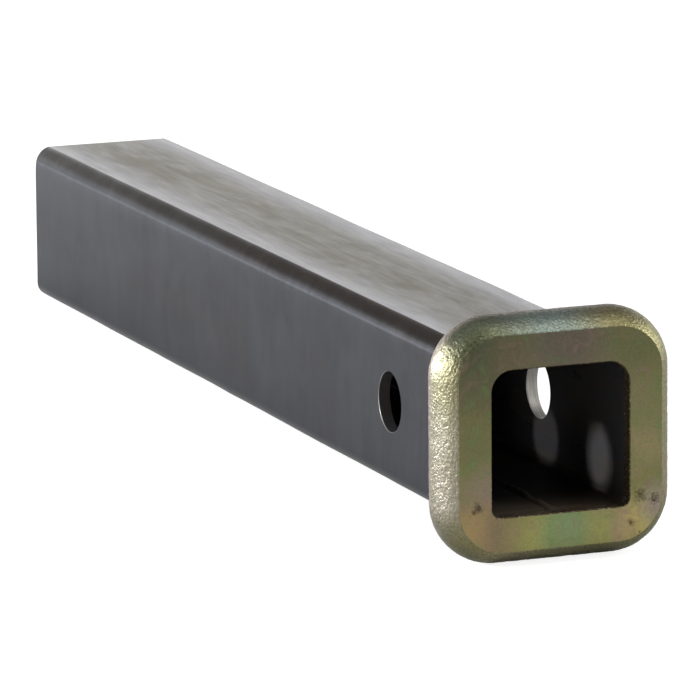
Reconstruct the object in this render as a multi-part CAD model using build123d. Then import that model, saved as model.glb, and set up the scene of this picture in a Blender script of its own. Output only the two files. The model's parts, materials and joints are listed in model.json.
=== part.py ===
from build123d import *
import os
from math import sqrt

# Receiver tube for a 1-1/4 in towing hitch: a welded square tube with a forged collar round its mouth.
# Millimetres. +X runs along the tube and out of its mouth, +Y along the pin hole, +Z up.
# The origin is the centre of the pin hole, on the tube's centreline.

# Square tube, rolled and welded from 12 gauge strip. Its upper corners are rounder than its lower ones.
tube_outer = 38.1
tube_wall = 2.77
tube_top_r = 4.4
tube_bottom_r = 3.5
tube_inner_top_r = 1.6
tube_inner_bottom_r = 0.9
overall_length = 292.1

# Inside weld seam, a low bead along the middle of the floor
seam_width = 2.6
seam_height = 0.45

# Pin hole, drilled through both side walls for a 1/2 in pin
pin_hole_d = 13.49
pin_to_front = 50.8

# Mouth of the collar, which guides a 1-1/4 in square shank. Its corners differ in the same way.
mouth = 31.9
mouth_top_r = 4.75
mouth_bottom_r = 2.0
mouth_edge_break = 0.4

# Forged collar: a half-round ring whose front and back are machined flat
ring_height = 7.95
ring_round_r = 8.5
ring_throat_r = 5.0
ring_land = 0.3
shoulder_inset = 3.3
lip = 3.0
socket_clearance = 0.1

# Fillet weld between the collar's back and the tube
weld_leg = 4.0
weld_crown = 0.5

# Places along the tube
front_x = pin_to_front
rear_x = front_x - overall_length
tube_front_x = front_x - lip

# Sizes across the tube
tube_inner = tube_outer - 2 * tube_wall
floor_z = -tube_inner / 2
collar_outer = tube_outer + 2 * ring_height
collar_corner_r = ring_throat_r + ring_round_r

# The crown is the widest line of the ring. The front and back faces cut its round where it has come
# in by shoulder_inset.
crown_to_face = ring_land / 2 + sqrt(ring_round_r**2 - (ring_round_r - shoulder_inset) ** 2)
crown_x = front_x - crown_to_face
back_x = crown_x - crown_to_face


def rounded_square(size, top_r, bottom_r):
    """Square whose two upper corners have one radius and whose two lower corners have another."""
    outline = Rectangle(size, size)
    outline = fillet(outline.vertices().group_by(Axis.Y)[-1], top_r)
    return fillet(outline.vertices().group_by(Axis.Y)[0], bottom_r)


def tube_profile():
    """Section of the tube in the YZ plane, with its inside seam bead."""
    outside = rounded_square(tube_outer, tube_top_r, tube_bottom_r)
    inside = rounded_square(tube_inner, tube_inner_top_r, tube_inner_bottom_r)
    root_z = floor_z - tube_wall / 2
    left, right = -seam_width / 2, seam_width / 2
    bead_outline = [
        ThreePointArc((left, floor_z), (0, floor_z + seam_height), (right, floor_z)),
        Polyline((right, floor_z), (right, root_z), (left, root_z), (left, floor_z)),
    ]
    return outside - inside + make_face(bead_outline)


def tube():
    """The sawn length of tube, from its rear end to the back of the collar's lip."""
    body = extrude(Plane.YZ.offset(rear_x) * tube_profile(), tube_front_x - rear_x)
    drill = Rot(90, 0, 0) * Cylinder(pin_hole_d / 2, 2 * tube_outer)
    return body - drill


def collar():
    """The forged ring: rounded blank, flat faces, socket for the tube and mouth for the shank."""
    blank_width = 2 * ring_round_r + ring_land
    outline = RectangleRounded(collar_outer, collar_outer, collar_corner_r)
    ring = extrude(Plane.YZ.offset(crown_x - blank_width / 2) * outline, blank_width)
    end_faces = [ring.faces().sort_by(Axis.X)[0], ring.faces().sort_by(Axis.X)[-1]]
    ring = fillet([edge for face in end_faces for edge in face.edges()], ring_round_r)
    ring = split(ring, bisect_by=Plane.YZ.offset(front_x), keep=Keep.BOTTOM)
    ring = split(ring, bisect_by=Plane.YZ.offset(back_x), keep=Keep.TOP)

    socket = rounded_square(
        tube_outer + 2 * socket_clearance, tube_top_r + socket_clearance, tube_bottom_r + socket_clearance
    )
    ring -= extrude(Plane.YZ.offset(back_x) * socket, tube_front_x - back_x)
    ring -= extrude(Plane.YZ.offset(tube_front_x) * rounded_square(mouth, mouth_top_r, mouth_bottom_r), lip)

    front_face = ring.faces().sort_by(Axis.X)[-1]
    return chamfer(front_face.inner_wires()[0].edges(), mouth_edge_break)


def collar_weld():
    """The bead in the corner between the tube's outside and the collar's back face."""
    # The section's own axes run along X and outwards from the tube's top face.
    tube_toe = (back_x - weld_leg, 0)
    ring_toe = (back_x, weld_leg)
    bulge = weld_crown / sqrt(2)
    crest = (back_x - weld_leg / 2 - bulge, weld_leg / 2 + bulge)
    outline = [ThreePointArc(tube_toe, crest, ring_toe), Polyline(ring_toe, (back_x, 0), tube_toe)]
    section_plane = Plane(origin=(0, 0, tube_outer / 2), x_dir=(1, 0, 0), z_dir=(0, -1, 0))
    path = Plane.YZ * rounded_square(tube_outer, tube_top_r, tube_bottom_r)
    return sweep(section_plane * make_face(outline), path=path.wire())


os.makedirs("parts", exist_ok=True)
export_step(tube(), "parts/tube.step")
export_step(collar(), "parts/collar.step")
export_step(collar_weld(), "parts/collar_weld.step")
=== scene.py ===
import json
import math

import bmesh
import bpy
import numpy as np
from mathutils import Matrix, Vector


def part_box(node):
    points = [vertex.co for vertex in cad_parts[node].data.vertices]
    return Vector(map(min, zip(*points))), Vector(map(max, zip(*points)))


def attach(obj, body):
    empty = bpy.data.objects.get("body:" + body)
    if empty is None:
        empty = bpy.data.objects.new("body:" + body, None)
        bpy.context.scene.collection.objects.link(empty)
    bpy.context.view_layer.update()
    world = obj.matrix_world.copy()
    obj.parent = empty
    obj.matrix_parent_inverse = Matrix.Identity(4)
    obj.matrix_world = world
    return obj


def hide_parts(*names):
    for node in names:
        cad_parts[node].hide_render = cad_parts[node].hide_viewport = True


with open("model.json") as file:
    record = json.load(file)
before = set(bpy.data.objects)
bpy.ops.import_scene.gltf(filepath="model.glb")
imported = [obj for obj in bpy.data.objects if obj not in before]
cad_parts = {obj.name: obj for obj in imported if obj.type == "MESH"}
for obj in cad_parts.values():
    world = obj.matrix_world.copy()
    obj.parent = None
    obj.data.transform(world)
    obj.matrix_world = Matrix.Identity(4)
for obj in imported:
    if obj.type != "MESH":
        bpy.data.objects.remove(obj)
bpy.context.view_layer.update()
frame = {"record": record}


# Tube
# A 38 mm square steel tube, cold rolled to shape from 12 gauge strip and seam welded along the middle
# of its floor. Its mill scale is left on. It is sawn off square at both ends, and a 1/2 in pin hole is
# drilled through both side walls.
mm = 0.001
tube_low, tube_high = (np.array(corner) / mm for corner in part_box("tube"))
tube_rear, tube_front = tube_low[0], tube_high[0]
tube_half = tube_high[2]
tube_wall = 2.77
inner_half = tube_half - tube_wall
tube_top_r, tube_bottom_r = 4.2, 3.5
tube_inner_top_r, tube_inner_bottom_r = 1.6, 0.9
crease = math.radians(13)
easing_start, easing_depth = 12.0, 0.35
seam_half_width, seam_height = 1.3, 0.45
mounts = {mount["name"]: mount for mount in frame["record"]["mounts"]}
pin_hole_r = mounts["pin_hole"]["dims"]["r_mm"]
saw_burr, drill_burr = 0.15, 0.12
# How far the wall waves in and out, over long and short waves, as shares of its distance from the axis
long_wave, short_wave = 0.0013, 0.0004
# Half the width of the top's flat, which ends at the two creases
top_flat = (tube_half - tube_top_r * (1 - math.sin(crease))) * (1 - easing_depth / tube_half)


def spaced(ends, counts):
    """Numbers from ends[0] to ends[-1], with counts[k] equal steps between ends[k] and the next end."""
    spans = [np.linspace(a, b, n, endpoint=False) for a, b, n in zip(ends[:-1], ends[1:], counts)]
    return np.append(np.concatenate(spans), ends[-1])


def square_loop(half, top_r, bottom_r, sides, turn, crease=0.0):
    """Points (y, z) round a square of half width half, whose upper and lower corners have their own radii.

    Seen with y to the right and z up, it runs anticlockwise from the left end of the bottom side, and its
    last point is its first. sides holds each side's points as shares of its length, for the bottom, right,
    top and left, and turn holds a corner's points as shares of its arc. With a crease, the upper corners
    stop that angle short of a quarter turn, and so they meet the top in an edge.
    """
    low, across = half - bottom_r, half - top_r
    high = half - top_r * math.cos(crease)
    flat = across + top_r * math.sin(crease)
    quarter = math.pi / 2
    stretches = [
        ((-low, -half), (low, -half), (low, -low), bottom_r, -quarter, quarter),
        ((half, -low), (half, high), (across, high), top_r, 0.0, quarter - crease),
        ((flat, half), (-flat, half), (-across, high), top_r, quarter + crease, quarter - crease),
        ((-half, high), (-half, -low), (-low, -low), bottom_r, 2 * quarter, quarter),
    ]
    points = []
    for side, (start, end, centre, radius, angle, sweep) in zip(sides, stretches):
        points.append(np.array(start) + side[:-1, None] * (np.array(end) - start))
        angles = angle + sweep * turn[:-1]
        points.append(centre + radius * np.stack([np.cos(angles), np.sin(angles)], axis=-1))
    points.append(points[0][:1])
    return np.concatenate(points)


def eased(loop):
    """Draws a loop in towards its upper corners, smoothly from easing_start up, so that each side wall
    begins to turn before its corner does, as in rolled tube."""
    share = np.clip((loop[:, 1] - easing_start) / (tube_half - easing_start), 0, 1)
    drawn_in = easing_depth * (3 * share**2 - 2 * share**3)
    return loop * np.stack([1 - drawn_in / tube_half, np.ones_like(share)], axis=-1)


def rings(x, loops):
    """Carries a loop (y, z), or one loop for each place, to the places x: a sheet with a row for each."""
    sheet = np.empty((len(x), loops.shape[-2], 3))
    sheet[..., 0] = np.asarray(x)[:, None]
    sheet[..., 1:] = loops
    return sheet


def waves(points, length, seed, count=60):
    """A smooth random value at each point, with a spread of one.

    It is the sum of plane waves in random directions, whose lengths lie within 30 percent of length.
    """
    random = np.random.default_rng(seed)
    direction = random.normal(size=(count, 3))
    direction /= np.linalg.norm(direction, axis=1, keepdims=True)
    number = 2 * math.pi / (length * random.uniform(0.7, 1.3, count))
    phase = random.uniform(0, 2 * math.pi, count)
    return math.sqrt(2 / count) * np.cos(points @ (direction * number[:, None]).T + phase).sum(axis=-1)


def piece_from_sheets(name, sheets, materials, sharp):
    """One closed mesh object from sheets of points in millimetres, each with the number of its material.

    Four neighbouring points of a sheet make a face, and points of two sheets that coincide are merged.
    Edges that turn by more than sharp degrees stay sharp in the shading.
    """
    points, quads, finishes, start = [], [], [], 0
    for sheet, finish in sheets:
        rows, columns = sheet.shape[:2]
        index = start + np.arange(rows * columns).reshape(rows, columns)
        corners = [index[:-1, :-1], index[:-1, 1:], index[1:, 1:], index[1:, :-1]]
        quads.append(np.stack(corners, axis=-1).reshape(-1, 4))
        finishes.append(np.full(len(quads[-1]), finish))
        points.append(sheet.reshape(-1, 3))
        start += rows * columns
    mesh = bpy.data.meshes.new(name)
    mesh.from_pydata(np.concatenate(points) * mm, [], np.concatenate(quads).tolist())
    mesh.polygons.foreach_set("material_index", np.concatenate(finishes).astype(np.int32))
    for made in materials:
        mesh.materials.append(made)
    work = bmesh.new()
    work.from_mesh(mesh)
    bmesh.ops.remove_doubles(work, verts=work.verts, dist=0.001 * mm)
    bmesh.ops.recalc_face_normals(work, faces=work.faces)
    work.to_mesh(mesh)
    work.free()
    mesh.shade_smooth()
    mesh.set_sharp_from_angle(angle=math.radians(sharp))
    piece = bpy.data.objects.new(name, mesh)
    bpy.context.scene.collection.objects.link(piece)
    return piece


def colour(code):
    """The linear colour of an sRGB hex code."""
    part = np.array([int(code[i : i + 2], 16) for i in (1, 3, 5)]) / 255
    linear = np.where(part <= 0.04045, part / 12.92, ((part + 0.055) / 1.055) ** 2.4)
    return (*linear, 1.0)


def add(tree, kind, inputs=(), stops=(), **settings):
    """Adds a shader node with its settings. inputs names each input with a value or with the output that
    feeds it, and stops are the places and colours of a colour ramp."""
    made = tree.nodes.new("ShaderNode" + kind)
    for name, value in settings.items():
        setattr(made, name, value)
    for name, value in dict(inputs).items():
        if isinstance(value, bpy.types.NodeSocket):
            tree.links.new(value, made.inputs[name])
        else:
            made.inputs[name].default_value = value
    for place, code in stops[2:]:
        made.color_ramp.elements.new(place)
    for element, (place, code) in zip(made.color_ramp.elements if stops else (), stops):
        element.position, element.color = place, colour(code)
    return made


def material(name):
    """A new material and its empty node tree."""
    made = bpy.data.materials.new(name)
    made.use_nodes = True
    made.node_tree.nodes.clear()
    return made, made.node_tree


def mill_scale():
    """Mill scale, a hard blue-grey skin of iron oxide left by hot rolling, burnished by the tube rolls.

    It has a low sheen that gets strong at a flat angle. It is browner where the rolls bent the corners,
    and cloudy with olive and brown stains along the middle of each side.
    """
    made, tree = material("mill_scale_steel")
    place = add(tree, "TexCoord").outputs["Object"]
    axis = add(tree, "SeparateXYZ", {0: place})
    # Clouds are 38 mm long and 8 mm wide, rubbed smears 7 mm wide and 20 mm high, grain 0.6 mm.
    long_place = add(tree, "Mapping", {"Vector": place, "Scale": (1 / 38, 1 / 8, 1 / 16)})
    cloud = add(
        tree,
        "TexNoise",
        {"Vector": long_place.outputs[0], "Scale": 1 / mm, "Detail": 9.0, "Roughness": 0.75, "Distortion": 0.5},
    )
    tall_place = add(tree, "Mapping", {"Vector": place, "Scale": (1 / 7, 1 / 7, 1 / 20)})
    streak = add(
        tree,
        "TexNoise",
        {"Vector": tall_place.outputs[0], "Scale": 1 / mm, "Detail": 7.0, "Roughness": 0.66, "Distortion": 1.0},
    )
    grain = add(tree, "TexNoise", {"Vector": place, "Scale": 1 / 0.6 / mm, "Detail": 3.0, "Roughness": 0.6})
    base = add(
        tree,
        "ValToRGB",
        {"Fac": cloud.outputs["Fac"]},
        stops=[(0.34, "#56585d"), (0.48, "#54565b"), (0.56, "#525357"), (0.64, "#555457")],
    )
    stain = add(
        tree,
        "ValToRGB",
        {"Fac": cloud.outputs["Fac"]},
        stops=[(0.34, "#ebe8e4"), (0.46, "#e1dfd8"), (0.56, "#d8d5cc"), (0.66, "#dbd8cf")],
    )
    # Fine scuffs 14 mm long and 1.3 mm wide run along the tube.
    scuff_place = add(tree, "Mapping", {"Vector": place, "Scale": (1 / 14, 1 / 1.3, 1 / 3)})
    scuff = add(
        tree, "TexNoise", {"Vector": scuff_place.outputs[0], "Scale": 1 / mm, "Detail": 5.0, "Roughness": 0.6}
    )
    scuffed = add(
        tree,
        "MapRange",
        {"Value": scuff.outputs["Fac"], "From Min": 0.3, "From Max": 0.7, "To Min": 0.87, "To Max": 1.06},
    )
    # The rolls bear on the edges of each side, and keep them cleaner than its middle.
    off_middle = add(tree, "Math", {0: axis.outputs["Y"]}, operation="ABSOLUTE")
    rubbed = add(
        tree,
        "MapRange",
        {"Value": off_middle.outputs[0], "From Min": 4 * mm, "From Max": 15 * mm, "To Max": 0.9},
        interpolation_type="SMOOTHSTEP",
    )
    clean = add(
        tree,
        "Mix",
        {0: rubbed.outputs[0], 6: stain.outputs["Color"], 7: colour("#f8f7f8")},
        data_type="RGBA",
    )
    top_sheen = add(tree, "VectorMath", {0: clean.outputs[2], "Scale": scuffed.outputs[0]}, operation="SCALE")
    # Past the creases, the corners and side walls have a weaker sheen. The upper corners are tinted, from
    # the crease down to where the side wall begins.
    past_crease = add(
        tree,
        "MapRange",
        {"Value": off_middle.outputs[0], "From Min": (top_flat - 0.1) * mm, "From Max": (top_flat + 0.2) * mm},
    )
    sheen = add(
        tree,
        "Mix",
        {0: past_crease.outputs[0], 6: top_sheen.outputs[0], 7: colour("#e1e1e2")},
        data_type="RGBA",
    )
    near_top = add(
        tree,
        "MapRange",
        {"Value": axis.outputs["Z"], "From Min": 15.8 * mm, "From Max": 18.2 * mm},
        interpolation_type="SMOOTHSTEP",
    )
    corner = add(tree, "Math", {0: past_crease.outputs[0], 1: near_top.outputs[0]}, operation="MULTIPLY")
    # The flats' edges are worn paler. The corners are tinted brown near the collar, and painted paler
    # towards the rear end, a painted reflection of the light behind the part.
    towards_front = add(
        tree, "MapRange", {"Value": axis.outputs["X"], "From Min": tube_rear * mm, "From Max": 0.0}
    )
    # Painted reflection: the corners' brown tint turns paler towards the rear end.
    corner_tint_and_painted_reflection = add(
        tree,
        "ValToRGB",
        {"Fac": towards_front.outputs[0]},
        stops=[(0.0, "#a09e9b"), (0.3, "#7e7b77"), (0.65, "#6a635e"), (1.0, "#605650")],
    )
    edge = add(
        tree,
        "MapRange",
        {"Value": off_middle.outputs[0], "From Min": 9 * mm, "From Max": top_flat * mm},
        interpolation_type="SMOOTHSTEP",
    )
    worn = add(
        tree, "Math", {0: edge.outputs[0], 1: past_crease.outputs[0]}, operation="SUBTRACT", use_clamp=True
    )
    paler = add(
        tree,
        "Mix",
        {0: worn.outputs[0], 6: base.outputs["Color"], 7: colour("#797b7f")},
        data_type="RGBA",
    )
    browned_and_painted_corners = add(
        tree,
        "Mix",
        {0: corner.outputs[0], 6: paler.outputs[2], 7: corner_tint_and_painted_reflection.outputs["Color"]},
        data_type="RGBA",
    )
    streaked = add(
        tree,
        "MapRange",
        {"Value": streak.outputs["Fac"], "From Min": 0.3, "From Max": 0.7, "To Min": 0.84, "To Max": 1.14},
    )
    shaded = add(tree, "VectorMath", {0: browned_and_painted_corners.outputs[2], "Scale": streaked.outputs[0]}, operation="SCALE")
    # The top is smoothest where the rolls bear on it, and the side walls are satin all over.
    cloudy = add(
        tree,
        "MapRange",
        {"Value": cloud.outputs["Fac"], "From Min": 0.36, "From Max": 0.66, "To Min": 0.15, "To Max": 0.185},
    )
    polished = add(tree, "Mix", {0: rubbed.outputs[0], 2: cloudy.outputs[0], 3: 0.12}, data_type="FLOAT")
    satin = add(tree, "Mix", {0: past_crease.outputs[0], 2: polished.outputs[0], 3: 0.17}, data_type="FLOAT")
    streaky = add(
        tree,
        "MapRange",
        {"Value": streak.outputs["Fac"], "From Min": 0.3, "From Max": 0.7, "To Min": -0.015, "To Max": 0.02},
    )
    rough = add(tree, "Math", {0: satin.outputs[0], 1: streaky.outputs[0]}, operation="ADD")
    bump = add(tree, "Bump", {"Height": grain.outputs["Fac"], "Distance": 0.012 * mm, "Strength": 0.6})
    shader = add(
        tree,
        "BsdfPrincipled",
        {
            "Base Color": shaded.outputs[0],
            "Specular Tint": sheen.outputs[2],
            "Metallic": 1.0,
            "Roughness": rough.outputs[0],
            "Normal": bump.outputs[0],
        },
    )
    add(tree, "OutputMaterial", {"Surface": shader.outputs[0]})
    return made


def inside_scale():
    """The same scale inside the tube, never burnished: black, matt and dusty, with some brown rust."""
    made, tree = material("inside_mill_scale")
    place = add(tree, "TexCoord").outputs["Object"]
    long_place = add(tree, "Mapping", {"Vector": place, "Scale": (1 / 20, 1 / 5, 1 / 5)})
    cloud = add(tree, "TexNoise", {"Vector": long_place.outputs[0], "Scale": 1 / mm, "Detail": 4.0})
    base = add(tree, "ValToRGB", {"Fac": cloud.outputs["Fac"]}, stops=[(0.35, "#434246"), (0.65, "#494541")])
    axis = add(tree, "SeparateXYZ", {0: place})
    # The floor is blacker than the walls, dirt and painted shade. At the mouth it is browner and paler,
    # brown dirt with painted light where the light comes in.
    on_floor = add(
        tree,
        "MapRange",
        {"Value": axis.outputs["Z"], "From Min": (2 - inner_half) * mm, "From Max": (0.5 - inner_half) * mm},
    )
    at_mouth = add(
        tree, "MapRange", {"Value": axis.outputs["X"], "From Min": 30 * mm, "From Max": tube_front * mm}
    )
    # Painted light and shade: the floor is dark deep inside, and lighter and browner at the mouth.
    floor_dirt_and_painted_light = add(
        tree, "Mix", {0: at_mouth.outputs[0], 6: colour("#292624"), 7: colour("#5c5044")}, data_type="RGBA"
    )
    floor_dirt_and_painted_shade = add(
        tree, "Mix", {0: on_floor.outputs[0], 6: base.outputs["Color"], 7: floor_dirt_and_painted_light.outputs[2]}, data_type="RGBA"
    )
    # The crest of the seam bead wanders a little. It is browner and paler, mostly near the mouth, where
    # shanks rub it.
    wander = add(tree, "Math", {0: cloud.outputs["Fac"], 1: 3 * mm, 2: -1.5 * mm}, operation="MULTIPLY_ADD")
    beside = add(tree, "Math", {0: axis.outputs["Y"], 1: wander.outputs[0]}, operation="ADD")
    off_seam = add(tree, "Math", {0: beside.outputs[0]}, operation="ABSOLUTE")
    crest_edge = seam_half_width * mm
    on_seam = add(
        tree,
        "MapRange",
        {"Value": off_seam.outputs[0], "From Min": 0.5 * crest_edge, "From Max": 0.1 * crest_edge},
    )
    near_mouth = add(tree, "MapRange", {"Value": axis.outputs["X"], "From Min": 12 * mm, "From Max": 42 * mm})
    bare = add(tree, "Math", {0: on_seam.outputs[0], 1: near_mouth.outputs[0]}, operation="MULTIPLY")
    seamed = add(
        tree,
        "Mix",
        {0: bare.outputs[0], 6: floor_dirt_and_painted_shade.outputs[2], 7: colour("#5b4f45")},
        data_type="RGBA",
    )
    bump = add(tree, "Bump", {"Height": cloud.outputs["Fac"], "Distance": 0.05 * mm, "Strength": 0.5})
    shader = add(
        tree,
        "BsdfPrincipled",
        {
            "Base Color": seamed.outputs[2],
            "Specular Tint": colour("#808080"),
            "Specular IOR Level": 0.2,
            "Metallic": 0.3,
            "Roughness": 0.6,
            "Normal": bump.outputs[0],
        },
    )
    add(tree, "OutputMaterial", {"Surface": shader.outputs[0]})
    return made


def cut_steel(name, dark, pale, roughness):
    """Bare steel left by the saw or the drill, with fine lines 0.25 mm apart along the cut."""
    made, tree = material(name)
    place = add(tree, "TexCoord").outputs["Object"]
    line_place = add(
        tree, "Mapping", {"Vector": place, "Scale": (1 / 6, 1 / 0.25, 1 / 6), "Rotation": (0.25, 0, 0)}
    )
    line = add(tree, "TexNoise", {"Vector": line_place.outputs[0], "Scale": 1 / mm, "Detail": 4.0})
    base = add(tree, "ValToRGB", {"Fac": line.outputs["Fac"]}, stops=[(0.35, dark), (0.65, pale)])
    bump = add(tree, "Bump", {"Height": line.outputs["Fac"], "Distance": 0.04 * mm, "Strength": 0.7})
    shader = add(
        tree,
        "BsdfPrincipled",
        {
            "Base Color": base.outputs["Color"],
            "Metallic": 1.0,
            "Roughness": roughness,
            "Normal": bump.outputs[0],
        },
    )
    add(tree, "OutputMaterial", {"Surface": shader.outputs[0]})
    return made


# The hole lies in a square window of each side wall, where the sheet is a disc grid instead. The window's
# half width, the steps along each of its sides, and its rings of points on the wall and through the hole:
window = 12.0
window_steps, face_rings, wall_rings = 24, 9, 6
turn = np.linspace(0, 1, 15)
level = np.linspace(0, 1, 31)
# The numbers of the tube's finishes, in the order of its materials
burnished, inside, sawn, drilled = range(4)


def window_shares(low, high):
    """A side's points as shares of its length, so that some lie on the edges of the window."""
    return (spaced([low, -window, window, high], [3, window_steps, 3]) - low) / (high - low)


# Where the points lie along the bottom, right, top and left sides, outside and inside the wall
outer_sides = [
    level,
    window_shares(tube_bottom_r - tube_half, tube_half - tube_top_r * math.cos(crease)),
    level,
    window_shares(tube_top_r * math.cos(crease) - tube_half, tube_half - tube_bottom_r),
]
# The floor's points lie closest together on the seam bead.
floor_half = inner_half - tube_inner_bottom_r
floor_points = spaced([-floor_half, -6, -1.6, 1.6, 6, floor_half], [4, 4, 14, 4, 4])
inner_sides = [
    (floor_points + floor_half) / (2 * floor_half),
    window_shares(tube_inner_bottom_r - inner_half, inner_half - tube_inner_top_r),
    level,
    window_shares(tube_inner_top_r - inner_half, inner_half - tube_inner_bottom_r),
]

along = spaced([tube_rear + saw_burr, -window, window, tube_front], [115, window_steps, 18])
outer_loop = eased(square_loop(tube_half, tube_top_r, tube_bottom_r, outer_sides, turn, crease))
inner_loop = square_loop(inner_half, tube_inner_top_r, tube_inner_bottom_r, inner_sides, turn)
seam = (np.abs(inner_loop[:, 0]) < seam_half_width) & (inner_loop[:, 1] < 0)
inner_loop[seam, 1] += seam_height * (1 - (inner_loop[seam, 0] / seam_half_width) ** 2)


def skin(loop):
    """The sheets of one side of the wall, all along the tube, without the two windows.

    They are the loop carried along the tube, cut into the parts before, after, below and above the windows.
    """
    sheet = rings(along, loop)
    rounding = 1e-6
    rows = np.flatnonzero(np.abs(along) <= window + rounding)
    level_with_hole = np.abs(loop[:, 1]) <= window + rounding
    right = np.flatnonzero(level_with_hole & (loop[:, 0] > inner_half - 1))
    left = np.flatnonzero(level_with_hole & (-loop[:, 0] > inner_half - 1))
    middle = sheet[rows[0] : rows[-1] + 1]
    return [
        sheet[: rows[0] + 1],
        sheet[rows[-1] :],
        middle[:, : right[0] + 1],
        middle[:, right[-1] : left[0] + 1],
        middle[:, left[-1] :],
    ]


def hole(side):
    """The sheets of one pin hole, on the side +1 or -1: the window outside, the drilled wall with its two
    broken edges, and the window inside.

    The window's square outline, walked anticlockwise, is drawn in along straight lines to the hole's rim.
    """
    step = np.linspace(-window, window, window_steps + 1)
    edge = np.full(window_steps, window)
    square = np.concatenate(
        [
            np.stack([step[:-1], -edge], axis=-1),
            np.stack([edge, step[:-1]], axis=-1),
            np.stack([-step[:-1], edge], axis=-1),
            np.stack([-edge, -step[:-1]], axis=-1),
        ]
    )
    square = np.append(square, square[:1], axis=0)
    rim = square / np.linalg.norm(square, axis=1, keepdims=True)
    share = np.linspace(0, 1, face_rings)[:, None, None]
    face = (1 - share) * square + share * rim * (pin_hole_r + drill_burr)
    wall_y = np.linspace(tube_half - drill_burr, inner_half + drill_burr, wall_rings)
    wall = np.broadcast_to(rim * pin_hole_r, (wall_rings, *rim.shape))
    broken = np.stack([face[-1], wall[0]])
    # The wall of the hole on the +Y side is bright. The other's gets the dark inside scale, a painted shade.
    sheets = [
        (face, np.full(face_rings, tube_half), burnished),
        (broken, np.array([tube_half, wall_y[0]]), sawn),
        (wall, wall_y, drilled if side > 0 else inside),
        (broken, np.array([inner_half, wall_y[-1]]), sawn),
        (face, np.full(face_rings, inner_half), inside),
    ]
    made = []
    for xz, y, finish in sheets:
        y = side * np.broadcast_to(y[:, None], xz.shape[:2])
        made.append((np.stack([xz[..., 0], y, xz[..., 1]], axis=-1), finish))
    return made


def wavy(sheet):
    """Moves the wall in and out by up to a few hundredths of a millimetre, as rolled tube is never flat.

    The seam bead on the floor also swells and thins along the tube, every 6 mm and 2.5 mm or so.
    """
    x, y, z = sheet[..., 0], sheet[..., 1], sheet[..., 2]
    on_seam = (np.abs(y) < seam_half_width) & (np.abs(z + inner_half - seam_height / 2) < seam_height)
    line = np.stack([x, 0 * x, 0 * x], axis=-1)
    swelling = 1 + 0.35 * waves(line, 6, seed=5) + 0.25 * waves(line, 2.5, seed=6)
    bead = seam_height * (1 - (y / seam_half_width) ** 2) * (swelling - 1)
    sheet = np.stack([x, y, np.where(on_seam, np.maximum(z + bead, -inner_half), z)], axis=-1)
    swell = 1 + long_wave * waves(sheet, 45, seed=3) + short_wave * waves(sheet, 14, seed=4)
    return sheet * np.stack([np.ones_like(swell), swell, swell], axis=-1)


burr_top_r, burr_bottom_r = tube_top_r - saw_burr, tube_bottom_r - saw_burr
burr_loop = eased(square_loop(tube_half - saw_burr, burr_top_r, burr_bottom_r, outer_sides, turn, crease))
rear_end = rings([tube_rear, tube_rear], np.stack([burr_loop, inner_loop]))
rear_burr = rings([tube_rear, along[0]], np.stack([burr_loop, outer_loop]))
rear_inside = rings([tube_rear, along[0]], inner_loop)
front_end = rings([tube_front, tube_front], np.stack([outer_loop, inner_loop]))
tube_sheets = [(sheet, burnished) for sheet in skin(outer_loop)]
tube_sheets += [(sheet, inside) for sheet in skin(inner_loop)]
tube_sheets += [(rear_end, sawn), (rear_burr, sawn), (rear_inside, inside), (front_end, sawn)]
tube_sheets += hole(1) + hole(-1)
tube = piece_from_sheets(
    "receiver_tube",
    [(wavy(sheet), finish) for sheet, finish in tube_sheets],
    [
        mill_scale(),
        inside_scale(),
        cut_steel("sawn_steel", "#8d8c89", "#b4b2ae", 0.33),
        cut_steel("drilled_steel", "#94918c", "#b6b3ad", 0.5),
    ],
    sharp=9,
)
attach(tube, "root")
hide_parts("tube")


# Collar
# A forged steel ring round the mouth, half-round outside, with its front and back machined flat. A lip
# at its front covers the tube's end. It is zinc plated with a yellow chromate film, which gives patches
# of green, gold and pink, and its rounded outside keeps the grain of the shot-blasted forging.
collar_low, collar_high = (np.array(corner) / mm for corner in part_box("collar"))
collar_back, collar_front = collar_low[0], collar_high[0]
collar_half = collar_high[2]
crown_x = (collar_back + collar_front) / 2
# The half-round's radius, the straight part at its crown, and how far inside the crown the flat faces cut it
round_r, land, inset = 8.5, 0.3, 3.3
# How far from the axis, across and up, the ring's corners have their centres
corner_centre = 13.5
mouth_half, mouth_top_r, mouth_bottom_r, mouth_break = 15.95, 4.75, 2.0, 0.2
socket_gap = 0.1
edge_round = 0.2
# The forging's grain and its shallow dents. The highest grains are cut off, and the grain as a whole is
# sunk, so that the ring keeps its size.
grain_depth, dent_depth = 0.02, 0.016
grain_cut, grain_sunk = 0.06, 0.03
grain_fade = 0.5
# Patches of the film's colour on the front face and on the skin, and smudges of dirt on the face. Each has
# its place across and up and its radius, in millimetres, and its colour.
film_patches = [
    ((-19.8, 20.0), 9, "#575d48"),
    ((1.4, 21.1), 11, "#6f675b"),
    ((18.8, 18.0), 7, "#727350"),
    ((-10.6, 20.3), 4, "#6f6850"),
    ((-18.7, 11.8), 6, "#6a674e"),
    ((-19.9, 0.0), 6, "#75754f"),
    ((-17.2, -9.5), 4, "#8b7c6a"),
    ((-20.0, -18.4), 4.5, "#a18a60"),
    ((-14.2, -19.8), 4.5, "#86735b"),
    ((-5.5, -20.5), 5, "#9c9a5e"),
    ((2.0, -18.9), 5.5, "#809468"),
    ((9.5, -20.0), 4, "#98985c"),
    ((14.6, -18.9), 3, "#a08a72"),
    ((18.6, -18.9), 4, "#b5a868"),
    ((22.4, -16.0), 3.5, "#9a9080"),
    ((20.2, -1.4), 4.5, "#978a66"),
    ((18.8, 6.0), 6, "#808058"),
]
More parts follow.
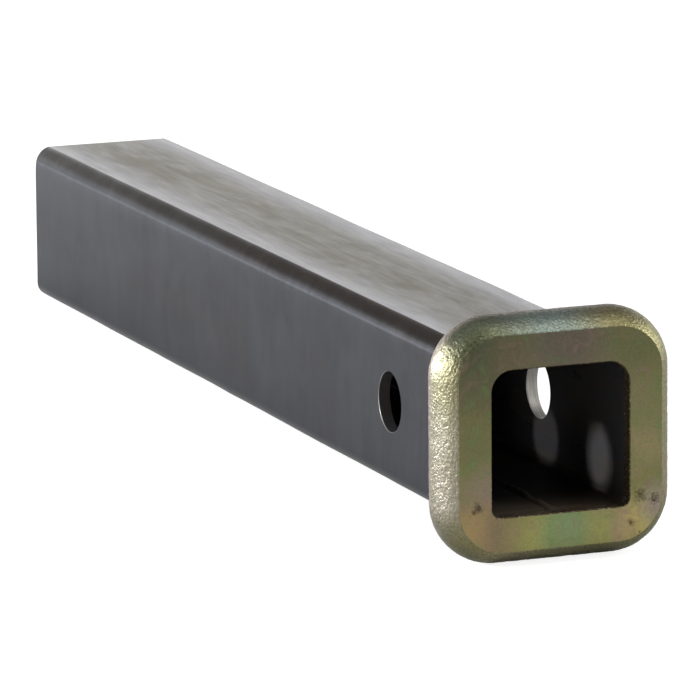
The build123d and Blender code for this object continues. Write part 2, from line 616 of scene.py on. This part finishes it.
skin_patches = [
    ((-20.0, 22.5), 8, "#4f5d4e"),
    ((-13.0, 25.0), 5, "#757c68"),
    ((10.0, 24.5), 7, "#998d64"),
    ((-1.5, 24.0), 9, "#96a8a6"),
    ((22.0, 23.0), 6, "#8a8564"),
    ((-26.0, 14.0), 7, "#8f8c74"),
    ((-26.0, 0.0), 8, "#a39f92"),
    ((-26.0, -12.0), 7, "#aaa39b"),
    ((-21.0, -23.0), 8, "#77745a"),
    ((10.0, -25.0), 12, "#6c6b52"),
]
dirt_marks = [
    ((-19.2, -13.4), 2.8, "#39332a"),
    ((-20.2, -14.2), 1.4, "#39332a"),
    ((18.4, -13.8), 3.8, "#4c4233"),
    ((21.8, -14.8), 3.0, "#453b2d"),
    ((16.4, -19.6), 2.2, "#4f4230"),
    ((18.3, -21.9), 0.7, "#1d1712"),
    ((14.6, -15.9), 0.7, "#e6dfc0"),
]


def coloured_spots(tree, place, ground, spots, reach):
    """Mixes round soft-edged spots on the front face over the colour ground, and gives the last colour.

    place is the point on the surface, moved about by noise so that the spots are ragged. A spot is full
    at its centre and ends at reach times its radius.
    """
    for (across, up), radius, code in spots:
        centre = (collar_front * mm, across * mm, up * mm)
        distance = add(tree, "VectorMath", {0: place, 1: centre}, operation="DISTANCE")
        cover = add(
            tree,
            "MapRange",
            {"Value": distance.outputs["Value"], "From Min": radius * reach * mm, "From Max": 0.0},
            interpolation_type="SMOOTHSTEP",
        )
        mix = add(tree, "Mix", {0: cover.outputs[0], 6: ground, 7: colour(code)}, data_type="RGBA")
        ground = mix.outputs[2]
    return ground


def smudged(tree, place, ground, marks):
    """Puts broken-up smudges on the front face over the colour ground, and gives the last colour.

    Grains of 0.8 mm show where their noise is higher than the share of the smudge's radius that the
    point is away from its centre: thick in the middle, and single grains at the edge.
    """
    grain = add(
        tree,
        "TexNoise",
        {"Vector": place, "Scale": 1 / 0.8 / mm, "Detail": 5.0, "Roughness": 0.7, "Distortion": 1.2},
    )
    for (across, up), radius, code in marks:
        centre = (collar_front * mm, across * mm, up * mm)
        distance = add(tree, "VectorMath", {0: place, 1: centre}, operation="DISTANCE")
        nearness = add(
            tree,
            "MapRange",
            {
                "Value": distance.outputs["Value"],
                "From Min": radius * mm,
                "From Max": 0.0,
                "To Min": -0.25,
                "To Max": 0.3,
            },
        )
        level = add(tree, "Math", {0: grain.outputs["Fac"], 1: nearness.outputs[0]}, operation="ADD")
        cover = add(
            tree, "MapRange", {"Value": level.outputs[0], "From Min": 0.52, "From Max": 0.8, "To Max": 0.9}
        )
        mix = add(tree, "Mix", {0: cover.outputs[0], 6: ground, 7: colour(code)}, data_type="RGBA")
        ground = mix.outputs[2]
    return ground


def ragged(tree, place, size, shift):
    """The point on the surface, moved at random by up to shift millimetres, with noise of size millimetres."""
    noise = add(tree, "TexNoise", {"Vector": place, "Scale": 1 / size / mm, "Detail": 3.0}).outputs["Color"]
    moved = add(
        tree, "VectorMath", {0: noise, 1: (2 * shift * mm,) * 3, 2: place}, operation="MULTIPLY_ADD"
    ).outputs[0]
    return add(tree, "VectorMath", {0: moved, 1: (shift * mm,) * 3}, operation="SUBTRACT").outputs[0]


def chromated_face():
    """Yellow chromate over machined, zinc plated steel: a thin film that goes from green to gold to pink.

    The cut is smooth, with some smudges of brown dirt, a dark speck and a bright one.
    """
    made, tree = material("zinc_plated_face")
    place = add(tree, "TexCoord").outputs["Object"]
    film = add(tree, "TexNoise", {"Vector": place, "Scale": 0.09 / mm, "Detail": 4.0, "Roughness": 0.55})
    tint = add(
        tree,
        "ValToRGB",
        {"Fac": film.outputs["Fac"]},
        stops=[(0.34, "#8a7c62"), (0.44, "#848055"), (0.54, "#7b7e52"), (0.66, "#8a7c5e")],
    )
    patched = coloured_spots(tree, ragged(tree, place, 9, 3), tint.outputs["Color"], film_patches, 2.0)
    # Between the patches the film turns browner or greener from place to place, 4 mm apart.
    mottle = add(
        tree,
        "TexNoise",
        {"Vector": place, "Scale": 1 / 4 / mm, "Detail": 5.0, "Roughness": 0.65, "Distortion": 0.8},
    )
    mottled = patched
    for start, end, code in ((0.53, 0.68, "#8d7468"), (0.47, 0.32, "#6c8256")):
        cover = add(
            tree,
            "MapRange",
            {"Value": mottle.outputs["Fac"], "From Min": start, "From Max": end, "To Max": 0.5},
        )
        mix = add(tree, "Mix", {0: cover.outputs[0], 6: mottled, 7: colour(code)}, data_type="RGBA")
        mottled = mix.outputs[2]
    dirty = smudged(tree, place, mottled, dirt_marks)
    # The whole face has specks of 0.5 mm. It is painted darker upwards and lighter at the bottom, a painted
    # reflection of the floor before it.
    speck = add(tree, "TexNoise", {"Vector": place, "Scale": 2 / mm, "Detail": 3.0, "Roughness": 0.7})
    shade = add(
        tree,
        "MapRange",
        {"Value": speck.outputs["Fac"], "From Min": 0.3, "From Max": 0.7, "To Min": 0.88, "To Max": 1.1},
    )
    # Painted reflection: lighter at the bottom of the face, darker at its top.
    painted_reflection_by_height = add(
        tree,
        "MapRange",
        {
            "Value": add(tree, "SeparateXYZ", {0: place}).outputs["Z"],
            "From Min": -collar_half * mm,
            "From Max": collar_half * mm,
            "To Min": 1.12,
            "To Max": 0.82,
        },
    )
    level = add(tree, "Math", {0: shade.outputs[0], 1: painted_reflection_by_height.outputs[0]}, operation="MULTIPLY")
    base = add(tree, "VectorMath", {0: dirty, "Scale": level.outputs[0]}, operation="SCALE")
    bump = add(tree, "Bump", {"Height": speck.outputs["Fac"], "Distance": 0.008 * mm, "Strength": 0.5})
    shader = add(
        tree,
        "BsdfPrincipled",
        {"Base Color": base.outputs[0], "Metallic": 1.0, "Roughness": 0.34, "Normal": bump.outputs[0]},
    )
    add(tree, "OutputMaterial", {"Surface": shader.outputs[0]})
    return made


def chromated_skin():
    """The same plating over the forging's rough skin, where it is paler and greyer, and greener in places."""
    made, tree = material("zinc_plated_forging")
    place = add(tree, "TexCoord").outputs["Object"]
    film = add(tree, "TexNoise", {"Vector": place, "Scale": 0.07 / mm, "Detail": 3.0, "Roughness": 0.55})
    grain = add(tree, "TexNoise", {"Vector": place, "Scale": 1 / 0.5 / mm, "Detail": 2.0, "Roughness": 0.55})
    tint = add(
        tree,
        "ValToRGB",
        {"Fac": film.outputs["Fac"]},
        stops=[(0.34, "#978e7a"), (0.44, "#959073"), (0.54, "#8d8f70"), (0.66, "#999179")],
    )
    shade = add(
        tree,
        "MapRange",
        {"Value": grain.outputs["Fac"], "From Min": 0.34, "From Max": 0.66, "To Min": 0.72, "To Max": 1.15},
    )
    patched = coloured_spots(tree, ragged(tree, place, 9, 3), tint.outputs["Color"], skin_patches, 1.8)
    axis = add(tree, "SeparateXYZ", {0: place})
    # Next to the face the film is yellower, and painted darker there as painted shade. Past the crown the
    # ring is pinker, and along the top of the crown it is painted darker, a painted shade.
    near_face = add(
        tree,
        "MapRange",
        {"Value": axis.outputs["X"], "From Min": 46 * mm, "From Max": collar_front * mm, "To Max": 0.3},
        interpolation_type="SMOOTHSTEP",
    )
    # Painted shade: the skin is darker and yellower next to the face.
    yellower_and_painted_shade = add(
        tree,
        "Mix",
        {0: near_face.outputs[0], 6: patched, 7: colour("#8a8454")},
        data_type="RGBA",
    )
    past_crown = add(
        tree,
        "MapRange",
        {"Value": axis.outputs["X"], "From Min": 46 * mm, "From Max": 43 * mm},
        interpolation_type="SMOOTHSTEP",
    )
    pinker = add(
        tree,
        "Mix",
        {0: past_crown.outputs[0], 6: yellower_and_painted_shade.outputs[2], 7: colour("#a0978a")},
        data_type="RGBA",
    )
    # Painted shade: the skin is darker along the top of the crown.
    painted_dark_crown_top = add(
        tree,
        "MapRange",
        {
            "Value": axis.outputs["Z"],
            "From Min": 25.2 * mm,
            "From Max": 27 * mm,
            "To Min": 1.0,
            "To Max": 0.68,
        },
    )
    level = add(tree, "Math", {0: shade.outputs[0], 1: painted_dark_crown_top.outputs[0]}, operation="MULTIPLY")
    base = add(tree, "VectorMath", {0: pinker.outputs[2], "Scale": level.outputs[0]}, operation="SCALE")
    bump = add(tree, "Bump", {"Height": grain.outputs["Fac"], "Distance": 0.15 * mm, "Strength": 1.0})
    shader = add(
        tree,
        "BsdfPrincipled",
        {"Base Color": base.outputs[0], "Metallic": 1.0, "Roughness": 0.38, "Normal": bump.outputs[0]},
    )
    add(tree, "OutputMaterial", {"Surface": shader.outputs[0]})
    return made


def dirty_and_painted_shade_lip():
    """The plating inside the mouth and the socket: dull, brown with grease and painted shade, with brighter
    worn grains.
    """
    made, tree = material("dirty_and_painted_shade_plated_steel")
    place = add(tree, "TexCoord").outputs["Object"]
    worn = add(tree, "TexNoise", {"Vector": place, "Scale": 1 / 0.5 / mm, "Detail": 3.0, "Roughness": 0.6})
    base = add(
        tree,
        "ValToRGB",
        {"Fac": worn.outputs["Fac"]},
        stops=[(0.4, "#3e3324"), (0.56, "#5a4b36"), (0.68, "#a0967a")],
    )
    bump = add(tree, "Bump", {"Height": worn.outputs["Fac"], "Distance": 0.08 * mm, "Strength": 0.6})
    shader = add(
        tree,
        "BsdfPrincipled",
        {"Base Color": base.outputs["Color"], "Metallic": 0.7, "Roughness": 0.5, "Normal": bump.outputs[0]},
    )
    add(tree, "OutputMaterial", {"Surface": shader.outputs[0]})
    return made


def forged_round(fineness):
    """One side of the ring's half-round, from its flat face to the crown, as distances from the crown
    along the tube and from the corners' centres outwards, and the outward direction there.

    It is an arc of radius round_r. Its edge with the flat face is rounded by a short parabola.
    """
    edge_angle = math.acos((round_r - inset) / round_r)
    angles = np.linspace(edge_angle - edge_round / round_r, 0, fineness)
    reach = collar_half - corner_centre
    arc = np.stack([round_r * np.sin(angles) + land / 2, reach - round_r + round_r * np.cos(angles)], axis=-1)
    arc_out = np.stack([np.sin(angles), np.cos(angles)], axis=-1)
    edge = np.array([collar_front - crown_x, reach - inset])
    share = np.linspace(0, 1, 5)[:-1, None]
    start = edge - (0, edge_round)
    parabola = (1 - share) ** 2 * start + 2 * share * (1 - share) * edge + share**2 * arc[0]
    parabola_out = (1 - share) * (1, 0) + share * arc_out[0]
    parabola_out /= np.linalg.norm(parabola_out, axis=1, keepdims=True)
    return np.concatenate([parabola, arc]), np.concatenate([parabola_out, arc_out])


collar_sides = [np.linspace(0, 1, 124)] * 4
collar_turn = np.linspace(0, 1, 97)


def collar_loop(half, top_r, bottom_r):
    """A rounded square with the collar's own spacing of points, so that its sheets meet point by point."""
    return square_loop(half, top_r, bottom_r, collar_sides, collar_turn)


ring_base = collar_loop(corner_centre, 0, 0)
ring_out = collar_loop(corner_centre + 1, 1, 1) - ring_base
section, section_out = forged_round(38)
section = np.concatenate([section, section[::-1] * (-1, 1)])
section_out = np.concatenate([section_out, section_out[::-1] * (-1, 1)])
ring_sheet = rings(crown_x + section[:, 0], ring_base + section[:, 1, None, None] * ring_out)
out_sheet = rings(section_out[:, 0], section_out[:, 1, None, None] * ring_out)
# The forging's grain fades out over the last half millimetre before the machined faces.
from_face = (collar_front - collar_back) / 2 - np.abs(section[:, 0])
fade = np.clip(from_face / grain_fade, 0, 1)[:, None]
grain = waves(ring_sheet, 0.6, seed=11, count=90) + 0.8 * waves(ring_sheet, 1.4, seed=13, count=90)
depth = grain_depth * grain + dent_depth * waves(ring_sheet, 4, seed=12)
ring_sheet += (fade * np.minimum(depth, grain_cut) - grain_sunk * fade)[..., None] * out_sheet

mouth_loop = collar_loop(mouth_half, mouth_top_r, mouth_bottom_r)
mouth_edge = collar_loop(mouth_half + mouth_break, mouth_top_r + mouth_break, mouth_bottom_r + mouth_break)
tube_seat = collar_loop(tube_half + socket_gap, tube_top_r + socket_gap, tube_bottom_r + socket_gap)
# Near the edges of the flat faces and of the lip, a second row of points keeps the shading flat.
edge_row = 0.2
face_share = np.array([0, 0.02, 0.2, 0.5, 0.8, 0.98, 1])[:, None, None]
front_face = (1 - face_share) * mouth_edge + face_share * ring_sheet[0, :, 1:]
back_face = face_share[::-1] * ring_sheet[-1, :, 1:] + (1 - face_share[::-1]) * tube_seat
seat = rings([collar_back, tube_front - edge_row, tube_front], tube_seat)
lip_end = collar_front - mouth_break
lip_places = [tube_front, tube_front + edge_row, lip_end - edge_row, lip_end]
lip = np.concatenate([seat[-1:], rings(lip_places, mouth_loop), rings([collar_front], mouth_edge)])
front_face = rings(np.full(len(face_share), collar_front), front_face)
back_face = rings(np.full(len(face_share), collar_back), back_face)
# The lip and socket's finish is dark brown, grease and painted shade.
machined, forged, dirty = range(3)
collar = piece_from_sheets(
    "forged_collar",
    [(front_face, machined), (ring_sheet, forged), (back_face, machined), (seat, dirty), (lip, dirty)],
    [chromated_face(), chromated_skin(), dirty_and_painted_shade_lip()],
    sharp=35,
)
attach(collar, "root")
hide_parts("collar")


# Weld
# A fillet weld laid by hand in the corner between the tube and the collar's back, once round, which holds
# the collar on. It is a row of overlapping ripples, grey-brown with scale.
weld_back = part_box("collar_weld")[0][0] / mm
weld_leg = collar_back - weld_back
weld_crown, weld_sunk = 0.4, 0.05
ripple_pitch, ripple_depth, ripple_lag = 1.7, 0.1, 0.9


def weld_metal():
    """Weld metal as it froze: dull and finely rough, grey, and tinted brown and blue by the heat."""
    made, tree = material("weld_metal")
    place = add(tree, "TexCoord").outputs["Object"]
    heat = add(tree, "TexNoise", {"Vector": place, "Scale": 0.2 / mm, "Detail": 3.0})
    fine = add(tree, "TexNoise", {"Vector": place, "Scale": 1.5 / mm, "Detail": 3.0})
    base = add(
        tree,
        "ValToRGB",
        {"Fac": heat.outputs["Fac"]},
        stops=[(0.35, "#54565c"), (0.5, "#5d5752"), (0.65, "#5a4f45")],
    )
    bump = add(tree, "Bump", {"Height": fine.outputs["Fac"], "Distance": 0.04 * mm, "Strength": 0.5})
    shader = add(
        tree,
        "BsdfPrincipled",
        {"Base Color": base.outputs["Color"], "Metallic": 1.0, "Roughness": 0.42, "Normal": bump.outputs[0]},
    )
    add(tree, "OutputMaterial", {"Surface": shader.outputs[0]})
    return made


weld_sides = [np.linspace(0, 1, 140)] * 4
weld_turn = np.linspace(0, 1, 31)
weld_base = eased(square_loop(tube_half, tube_top_r, tube_bottom_r, weld_sides, weld_turn, crease))
weld_inner = square_loop(tube_half, tube_top_r, tube_bottom_r, weld_sides, weld_turn)
weld_out = square_loop(tube_half + 1, tube_top_r + 1, tube_bottom_r + 1, weld_sides, weld_turn) - weld_inner
travel = np.append(0, np.cumsum(np.linalg.norm(np.diff(weld_base, axis=0), axis=1)))
ripples = round(travel[-1] / ripple_pitch)
across = np.linspace(0, 1, 21)[:, None]
# A ripple is a crescent: it rises slowly along the bead and drops at its curved front. The welder's hand
# wanders, seven and seventeen times on the way round.
lag = ripple_lag * (2 * across - 1) ** 2
lap = 2 * math.pi * travel / travel[-1]
wander = 0.12 * np.sin(7 * lap) + 0.1 * np.sin(17 * lap)
phase = (ripples * travel / travel[-1] + wander + lag) % 1
bulge = 4 * across * (1 - across) * (weld_crown + ripple_depth * (phase - 0.5)) * math.sqrt(0.5)
bead_x = weld_back + weld_leg * across - bulge
bead_height = weld_leg * across + bulge - weld_sunk * (1 - across)
bead = np.concatenate([bead_x[..., None], weld_base + bead_height[..., None] * weld_out], axis=-1)
root = rings([collar_back, weld_back], weld_base - weld_sunk * weld_out)
weld_sheet = np.concatenate([bead, root])
weld = piece_from_sheets("collar_fillet_weld", [(weld_sheet, 0)], [weld_metal()], sharp=40)
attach(weld, "root")
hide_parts("collar_weld")


# Floor
# A plain white studio floor. The tube rests on the collar's crown and on the lower edge of its sawn end,
# so the floor leans a little against the part's own frame.
# Half the floor's width, in metres
floor_reach = 8.0
floor_front = (crown_x * mm, -collar_half * mm)
floor_rear = (tube_rear * mm, -tube_half * mm)
floor_slope = (floor_front[1] - floor_rear[1]) / (floor_front[0] - floor_rear[0])


def floor_paint():
    """White card. The camera sees it as white, with the part's shadow on it.

    Behind the part it glows with painted light, more and more towards the back of the room.
    """
    made, tree = material("white_floor")
    card = add(tree, "BsdfDiffuse", {"Color": colour("#e6e6e6")})
    axis = add(tree, "SeparateXYZ", {0: add(tree, "TexCoord").outputs["Object"]})
    # Painted light: the floor behind the part glows.
    painted_backlight_share = add(
        tree, "MapRange", {"Value": axis.outputs["X"], "From Min": -0.32, "From Max": -0.8, "To Max": 0.9}
    )
    painted_backlight = add(tree, "Emission", {"Color": colour("#f4f7ff"), "Strength": painted_backlight_share.outputs[0]})
    lit_card = add(tree, "AddShader", {0: card.outputs[0], 1: painted_backlight.outputs[0]})
    faint = add(tree, "BsdfDiffuse", {"Color": colour("#a8a8a8")})
    glow = add(tree, "Emission", {"Color": colour("#ffffff"), "Strength": 0.84})
    lit = add(tree, "AddShader", {0: faint.outputs[0], 1: glow.outputs[0]})
    in_view = add(tree, "LightPath").outputs["Is Camera Ray"]
    seen = add(tree, "MixShader", {0: in_view, 1: lit_card.outputs[0], 2: lit.outputs[0]})
    clear = add(tree, "BsdfTransparent")
    under = add(tree, "NewGeometry").outputs["Backfacing"]
    sided = add(tree, "MixShader", {0: under, 1: seen.outputs[0], 2: clear.outputs[0]})
    add(tree, "OutputMaterial", {"Surface": sided.outputs[0]})
    return made


corners = np.array([(-1, -1), (1, -1), (1, 1), (-1, 1)]) * floor_reach
heights = floor_front[1] + floor_slope * (corners[:, 0] - floor_front[0])
floor_mesh = bpy.data.meshes.new("floor")
floor_mesh.from_pydata(np.column_stack([corners, heights]), [], [(0, 1, 2, 3)])
floor_mesh.materials.append(floor_paint())
floor = bpy.data.objects.new("floor", floor_mesh)
bpy.context.scene.collection.objects.link(floor)


# Light
# As the camera sees it: two small strong lamps at the left and behind on the left, a low soft box beside
# the tube, one at the right, one in front above, and a lamp in front on the right for the collar's upper
# edge. A white sweep stands low down all round, with a darker band over it.
def soft_box(name, place, size, strength):
    """A soft box of width and height size at place, in metres, aimed at the part's origin. strength is how
    bright its face is, as 1 is white."""
    lamp = bpy.data.lights.new(name, "AREA")
    lamp.shape = "RECTANGLE"
    lamp.size, lamp.size_y = size
    lamp.energy = strength * math.pi * size[0] * size[1]
    stand = bpy.data.objects.new(name, lamp)
    bpy.context.scene.collection.objects.link(stand)
    back = np.array(place) / np.linalg.norm(place)
    right = np.cross((0, 0, 1), back)
    right /= np.linalg.norm(right)
    axes = np.column_stack([right, np.cross(back, right), back, place])
    stand.matrix_world = Matrix(axes.tolist() + [[0, 0, 0, 1]])
    stand.visible_camera = False


soft_box("left_lamp", (-0.12, -0.98, 0.28), (0.07, 0.07), 300)
soft_box("rear_left_lamp", (-0.70, -0.72, 0.18), (0.07, 0.07), 520)
soft_box("low_left_soft_box", (-0.01, -0.31, 0.06), (0.26, 0.17), 1.9)
soft_box("right_soft_box", (0.08, 0.93, 0.35), (0.45, 0.35), 4.0)
soft_box("edge_lamp", (0.52, 0.81, 0.26), (0.14, 0.14), 45)
soft_box("front_top_soft_box", (0.46, 0.37, 0.86), (0.5, 0.5), 2.2)

# The sweep stands a little higher on the +Y side than on the side that the camera sees. The camera itself
# sees plain white.
world = bpy.data.worlds.new("white_sweep")
world.use_nodes = True
sky = world.node_tree
sky.nodes.clear()
direction = add(sky, "TexCoord").outputs["Generated"]
height = add(sky, "VectorMath", {0: direction, 1: (0.0, -0.3, 1.0)}, operation="DOT_PRODUCT")
sweep = add(
    sky,
    "ValToRGB",
    {"Fac": height.outputs["Value"]},
    stops=[(0.19, "#ffffff"), (0.34, "#868686"), (0.72, "#868686"), (0.9, "#d8d8d8")],
)
sight = add(sky, "LightPath").outputs["Is Camera Ray"]
seen = add(sky, "Mix", {0: sight, 6: sweep.outputs["Color"], 7: colour("#ffffff")}, data_type="RGBA")
# The room in front of the part, where the camera stands, is darker.
forward = add(
    sky,
    "MapRange",
    {
        "Value": add(sky, "SeparateXYZ", {0: direction}).outputs["X"],
        "From Min": 0.0,
        "From Max": 0.8,
        "To Min": 1.1,
        "To Max": 0.45,
    },
    interpolation_type="SMOOTHSTEP",
)
strength = add(sky, "Mix", {0: sight, 2: forward.outputs[0], 3: 1.0}, data_type="FLOAT")
backdrop = add(sky, "Background", {"Color": seen.outputs[2], "Strength": strength.outputs[0]})
add(sky, "OutputWorld", {"Surface": backdrop.outputs[0]})
bpy.context.scene.world = world
bpy.context.scene.view_settings.view_transform = "Standard"


# Camera
# It looks at the mouth from the front, a little from the -Y side and from above, through a long lens. Its
# place, in millimetres, and its angles were fitted to the outlines in the photograph.
camera_place = np.array([1284.45, -530.21, 291.69]) * mm
camera_azimuth, camera_elevation, camera_roll = np.radians([68.6562, 11.4513, -0.4857])
lens_in_widths = 9.20625
back = np.array(
    [
        math.sin(camera_azimuth) * math.cos(camera_elevation),
        -math.cos(camera_azimuth) * math.cos(camera_elevation),
        math.sin(camera_elevation),
    ]
)
right = np.array([math.cos(camera_azimuth), math.sin(camera_azimuth), 0])
up = np.cross(back, right)
rolled_right = math.cos(camera_roll) * right + math.sin(camera_roll) * up
rolled_up = math.cos(camera_roll) * up - math.sin(camera_roll) * right
lens = bpy.data.cameras.new("camera")
lens.sensor_width = 36
lens.lens = lens_in_widths * lens.sensor_width
camera = bpy.data.objects.new("camera", lens)
bpy.context.scene.collection.objects.link(camera)
camera.matrix_world = Matrix(
    np.column_stack([rolled_right, rolled_up, back, camera_place]).tolist() + [[0, 0, 0, 1]]
)
bpy.context.scene.camera = camera
